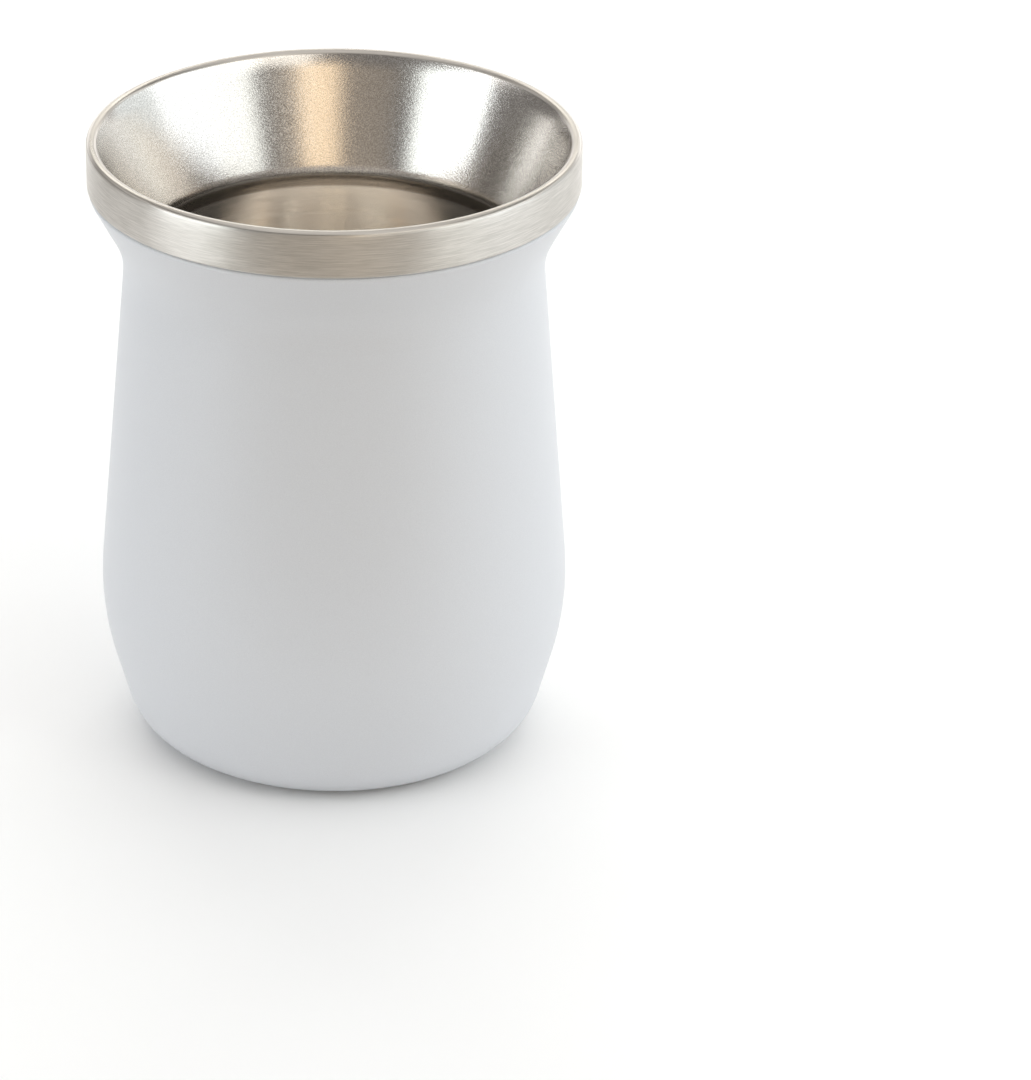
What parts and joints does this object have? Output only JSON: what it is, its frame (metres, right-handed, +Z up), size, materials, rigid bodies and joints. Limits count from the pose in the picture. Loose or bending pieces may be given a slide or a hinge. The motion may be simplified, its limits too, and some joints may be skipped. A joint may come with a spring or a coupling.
{
  "type": "mate cup",
  "caption": "Insulated mate cup with a painted, waisted outer wall, a bare steel liner, a funnel mouth with a rolled lip and band, and a recessed base plate.",
  "frame": {"origin": "centre of the underside, on the surface that the cup stands on", "axes": "+Z up along the cup's own axis; X and Y are free, because the cup is round"},
  "size_m": [0.08, 0.08, 0.1049],
  "materials": {
    "white_paint": "satin powder coat, white with a cool tint",
    "liner_steel": "brushed round the band and the vessel, blasted in the funnel, polished on the lip",
    "base_steel": "brushed round"
  },
  "bodies": {
    "root": {"outer_shell": "white_paint", "inner_liner": "liner_steel", "base_plate": "base_steel"}
  },
  "joints": []
}
